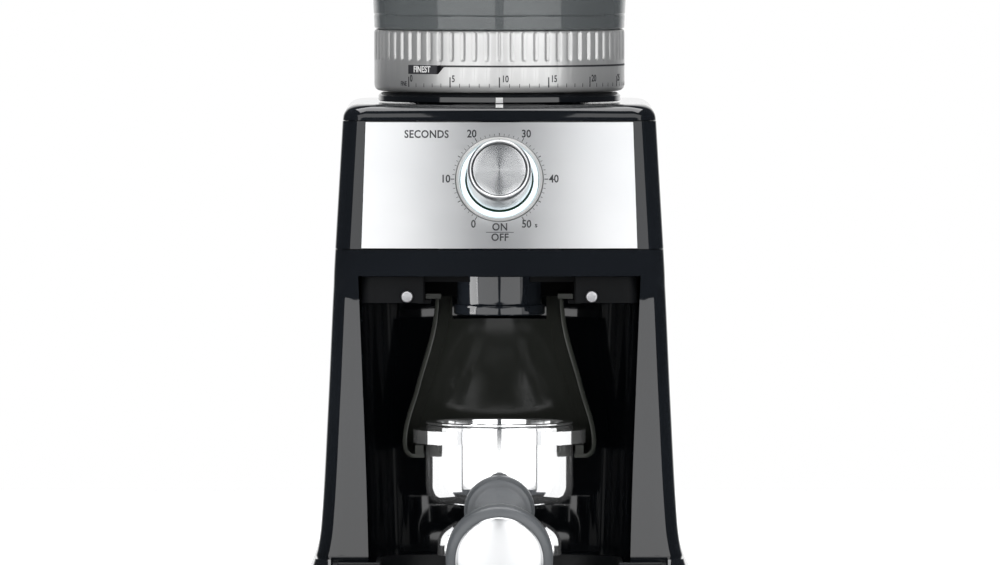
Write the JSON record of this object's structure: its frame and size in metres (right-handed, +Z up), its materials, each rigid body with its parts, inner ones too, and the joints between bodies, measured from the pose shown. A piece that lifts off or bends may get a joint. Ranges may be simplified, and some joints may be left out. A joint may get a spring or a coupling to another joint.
{
  "type": "burr coffee grinder",
  "caption": "Upright burr coffee grinder: timer dial panel, ribbed grind collar, smoked bean hopper, open front bay with a cradle holding a portafilter, and a removable tray.",
  "frame": {"origin": "under the middle of the whole object, on the surface it stands on", "axes": "+Z up, +Y towards the rear, front panel and portafilter handle towards -Y, +X to the right seen from the front"},
  "size_m": [0.171, 0.32, 0.36],
  "materials": {
    "gloss_black": "high gloss moulded",
    "satin_black": "satin moulded",
    "stainless": "brushed",
    "chrome": "polished",
    "silver": "satin silver",
    "smoke_plastic": "clear smoked",
    "dark_grey": "satin",
    "rubber": "matte",
    "light_diffuser": "frosted, lit",
    "steel": "machined",
    "brass": "machined",
    "circuit_board": "solder mask",
    "gear_plastic": "natural"
  },
  "bodies": {
    "housing": {"lower_housing": "gloss_black", "upper_housing": "gloss_black", "top_cover": "gloss_black", "neck_ring": "gloss_black", "outlet_chute": "gloss_black", "rear_cover": "satin_black", "base_plate": "satin_black", "dial_encoder": "satin_black", "burr_chamber": "satin_black", "gearbox_base": "satin_black", "gearbox_cover": "satin_black", "hopper_switch": "satin_black", "outlet_mount": "satin_black", "front_panel": "stainless", "dial_surround": "dark_grey", "foot_1": "rubber", "foot_2": "rubber", "foot_3": "rubber", "foot_4": "rubber", "cord_gland": "rubber", "light_ring": "light_diffuser", "base_screw_1": "steel", "base_screw_2": "steel", "base_screw_3": "steel", "base_screw_4": "steel", "lower_bearing": "steel", "upper_bearing": "steel", "idler_pin": "steel", "motor": "steel", "mount_screw_left": "steel", "mount_screw_right": "steel", "control_board": "circuit_board"},
    "collar": {"grind_collar": "silver", "upper_burr_carrier": "satin_black", "upper_burr": "steel"},
    "hopper": {"hopper": "smoke_plastic"},
    "lid": {"hopper_lid": "satin_black"},
    "gate": {"hopper_gate": "satin_black"},
    "dial": {"dial_knob": "stainless", "encoder_shaft": "steel", "button_spring": "steel"},
    "button": {"start_button": "stainless"},
    "burr_train": {"drive_shaft": "steel", "lower_burr": "steel", "burr_nut": "brass", "impeller": "satin_black", "output_gear": "gear_plastic"},
    "idler": {"idler_gear": "gear_plastic"},
    "motor_rotor": {"motor_shaft": "steel", "motor_pinion": "brass"},
    "tray": {"grinds_tray": "satin_black"},
    "cradle": {"cradle": "smoke_plastic"},
    "portafilter": {"portafilter_body": "chrome", "portafilter_basket": "chrome", "basket_spring": "steel", "portafilter_spout": "chrome", "handle_ferrule": "dark_grey", "portafilter_handle": "chrome", "handle_ring": "dark_grey", "handle_cap": "stainless"}
  },
  "joints": [
    {"name": "collar_turn", "type": "hinge", "parent": "housing", "child": "collar", "pos_m": [0, 0.048, 0.236], "axis": [0, 0, 1], "range_deg": [-230, 46]},
    {"name": "hopper_lift", "type": "slide", "parent": "collar", "child": "hopper", "axis": [0, 0, 1], "range_m": [0, 0.04]},
    {"name": "lid_lift", "type": "slide", "parent": "hopper", "child": "lid", "axis": [0, 0, 1], "range_m": [0, 0.04]},
    {"name": "gate_turn", "type": "hinge", "parent": "hopper", "child": "gate", "pos_m": [0, 0.048, 0.26], "axis": [0, 0, 1], "range_deg": [0, 90]},
    {"name": "dial_turn", "type": "hinge", "parent": "housing", "child": "dial", "pos_m": [0, -0.02322, 0.1876], "axis": [0, -0.9576, 0.288], "range_deg": [-150, 150]},
    {"name": "start_press", "type": "slide", "parent": "dial", "child": "button", "axis": [0, 0.9576, -0.288], "range_m": [0, 0.0015], "stiffness_N_per_m": 600, "springref_m": -0.001, "deforming": ["button_spring"]},
    {"name": "burr_spin", "type": "hinge", "parent": "housing", "child": "burr_train", "pos_m": [0, 0.048, 0.19], "axis": [0, 0, 1], "continuous": true},
    {"name": "idler_spin", "type": "hinge", "parent": "housing", "child": "idler", "pos_m": [0, 0.08655, 0.161], "axis": [0, 0, 1], "continuous": true},
    {"name": "motor_spin", "type": "hinge", "parent": "housing", "child": "motor_rotor", "pos_m": [0, 0.1095, 0.11], "axis": [0, 0, 1], "continuous": true},
    {"name": "tray_slide", "type": "slide", "parent": "housing", "child": "tray", "axis": [0, -1, 0], "range_m": [0, 0.035]},
    {"name": "cradle_slide", "type": "slide", "parent": "housing", "child": "cradle", "axis": [0, -1, 0], "range_m": [0, 0.045]},
    {"name": "portafilter_slide", "type": "slide", "parent": "cradle", "child": "portafilter", "axis": [0, -1, 0], "range_m": [0, 0.08]}
  ],
  "couplings": [
    {"joint": "idler_spin", "follows": "burr_spin", "ratio": -1.2857},
    {"joint": "motor_spin", "follows": "burr_spin", "ratio": 3.6}
  ]
}
